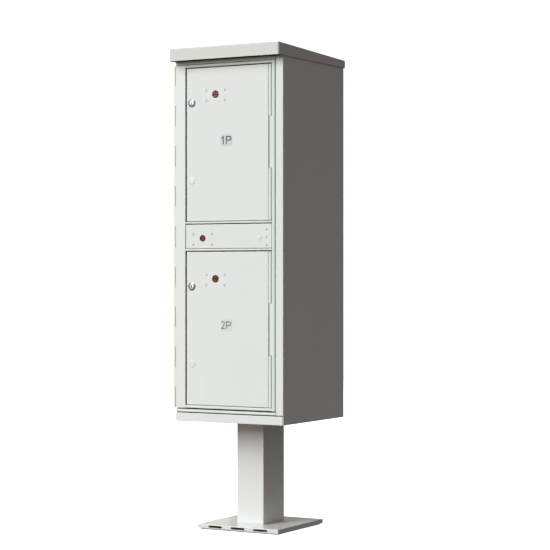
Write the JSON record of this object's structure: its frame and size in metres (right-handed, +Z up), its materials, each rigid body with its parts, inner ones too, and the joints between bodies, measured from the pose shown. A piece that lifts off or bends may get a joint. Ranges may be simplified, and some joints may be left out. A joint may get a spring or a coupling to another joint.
{
  "type": "pedestal parcel mailbox unit",
  "caption": "Outdoor pedestal mailbox cabinet: hinged master door carrying hinged parcel doors with key locks, sloping hood, post and anchor base plate.",
  "frame": {"origin": "centre of the base plate's underside, on the ground, at the centre of the anchor hole pattern", "axes": "+Z up along the post, front doors face -Y, +X to the right as seen from the front"},
  "size_m": [0.4191, 0.4591, 1.5789],
  "materials": {
    "painted_panel": "powder coat, light postal grey, semi-gloss",
    "painted_pedestal": "powder coat, light postal grey, semi-gloss",
    "mill_aluminium": "mill finish sheet",
    "zinc_steel": "zinc plated",
    "lock_steel": "zinc plated, satin",
    "bronze_cylinder": "dark red lacquered brass",
    "chrome": "bright chrome",
    "white_plastic": "moulded, satin",
    "label_vinyl": "printed vinyl label"
  },
  "bodies": {
    "cabinet": {"base_plate": "painted_pedestal", "pedestal_post": "painted_pedestal", "pedestal_top_flange": "painted_pedestal", "pedestal_bolts": "zinc_steel", "pedestal_nuts": "zinc_steel", "floor_panel": "mill_aluminium", "front_sill": "painted_panel", "threshold_rail": "painted_panel", "header_rail": "painted_panel", "left_side_panel": "painted_panel", "right_side_panel": "painted_panel", "back_panel": "painted_panel", "roof_panel": "painted_panel", "hood": "painted_panel", "hood_screws": "zinc_steel", "lower_compartment_floor": "mill_aluminium", "lower_compartment_ceiling": "mill_aluminium", "upper_compartment_floor": "mill_aluminium", "shelf_cleats": "mill_aluminium", "shell_rivets": "painted_panel", "master_hinge_leaf": "painted_panel", "master_hinge_rod": "zinc_steel", "hinge_leaf_rivets": "painted_panel"},
    "master_door": {"master_left_stile": "painted_panel", "master_right_stile": "painted_panel", "master_bottom_rail": "painted_panel", "master_top_rail": "painted_panel", "lower_mid_rail": "painted_panel", "upper_mid_rail": "painted_panel", "parcel_hinge_pins": "zinc_steel", "centre_panel": "painted_panel", "centre_panel_plug": "white_plastic", "centre_panel_rivets": "painted_panel", "master_lock_case": "lock_steel", "master_lock_studs": "painted_panel", "master_bolt_guides": "lock_steel"},
    "master_lock_cylinder": {"master_lock_cylinder": "bronze_cylinder"},
    "master_lock_bolt": {"master_lock_bolt": "lock_steel"},
    "upper_parcel_door": {"upper_door_panel": "painted_panel", "upper_customer_lock_barrel": "chrome", "upper_customer_lock_nut": "lock_steel", "upper_carrier_lock_case": "lock_steel", "upper_carrier_lock_studs": "painted_panel", "upper_hole_plug": "white_plastic", "upper_number_label": "label_vinyl"},
    "upper_customer_lock": {"upper_customer_lock_plug": "chrome", "upper_customer_lock_cam": "lock_steel"},
    "upper_carrier_lock_cylinder": {"upper_carrier_lock_cylinder": "bronze_cylinder"},
    "upper_carrier_lock_bolt": {"upper_carrier_lock_bolt": "lock_steel"},
    "lower_parcel_door": {"lower_door_panel": "painted_panel", "lower_customer_lock_barrel": "chrome", "lower_customer_lock_nut": "lock_steel", "lower_carrier_lock_case": "lock_steel", "lower_carrier_lock_studs": "painted_panel", "lower_hole_plug": "white_plastic", "lower_number_label": "label_vinyl"},
    "lower_customer_lock": {"lower_customer_lock_plug": "chrome", "lower_customer_lock_cam": "lock_steel"},
    "lower_carrier_lock_cylinder": {"lower_carrier_lock_cylinder": "bronze_cylinder"},
    "lower_carrier_lock_bolt": {"lower_carrier_lock_bolt": "lock_steel"}
  },
  "joints": [
    {"name": "master_door_hinge", "type": "hinge", "parent": "cabinet", "child": "master_door", "pos_m": [-0.2073, -0.204, 0.9648], "axis": [0, 0, -1], "range_deg": [0, 120]},
    {"name": "master_lock_turn", "type": "hinge", "parent": "master_door", "child": "master_lock_cylinder", "pos_m": [-0.0987, -0.2, 0.9583], "axis": [0, 1, 0], "range_deg": [0, 90]},
    {"name": "master_lock_bolt_slide", "type": "slide", "parent": "master_door", "child": "master_lock_bolt", "axis": [1, 0, 0], "range_m": [0, 0.0141]},
    {"name": "upper_parcel_door_hinge", "type": "hinge", "parent": "master_door", "child": "upper_parcel_door", "pos_m": [0.15505, -0.2032, 1.2639], "axis": [0, 0, 1], "range_deg": [0, 95]},
    {"name": "upper_customer_lock_turn", "type": "hinge", "parent": "upper_parcel_door", "child": "upper_customer_lock", "pos_m": [-0.1402, -0.2, 1.4012], "axis": [0, 1, 0], "range_deg": [0, 90]},
    {"name": "upper_carrier_lock_turn", "type": "hinge", "parent": "upper_parcel_door", "child": "upper_carrier_lock_cylinder", "pos_m": [-0.0499, -0.2, 1.4257], "axis": [0, -1, 0], "range_deg": [0, 90]},
    {"name": "upper_carrier_lock_bolt_slide", "type": "slide", "parent": "upper_parcel_door", "child": "upper_carrier_lock_bolt", "axis": [-1, 0, 0], "range_m": [0, 0.0141]},
    {"name": "lower_parcel_door_hinge", "type": "hinge", "parent": "master_door", "child": "lower_parcel_door", "pos_m": [0.15505, -0.2032, 0.6643], "axis": [0, 0, 1], "range_deg": [0, 95]},
    {"name": "lower_customer_lock_turn", "type": "hinge", "parent": "lower_parcel_door", "child": "lower_customer_lock", "pos_m": [-0.1402, -0.2, 0.8016], "axis": [0, 1, 0], "range_deg": [0, 90]},
    {"name": "lower_carrier_lock_turn", "type": "hinge", "parent": "lower_parcel_door", "child": "lower_carrier_lock_cylinder", "pos_m": [-0.0499, -0.2, 0.8261], "axis": [0, -1, 0], "range_deg": [0, 90]},
    {"name": "lower_carrier_lock_bolt_slide", "type": "slide", "parent": "lower_parcel_door", "child": "lower_carrier_lock_bolt", "axis": [-1, 0, 0], "range_m": [0, 0.0141]}
  ],
  "couplings": [
    {"joint": "master_lock_bolt_slide", "follows": "master_lock_turn", "m_per_rad": 0.0089127},
    {"joint": "upper_carrier_lock_bolt_slide", "follows": "upper_carrier_lock_turn", "m_per_rad": 0.0089127},
    {"joint": "lower_carrier_lock_bolt_slide", "follows": "lower_carrier_lock_turn", "m_per_rad": 0.0089127}
  ]
}
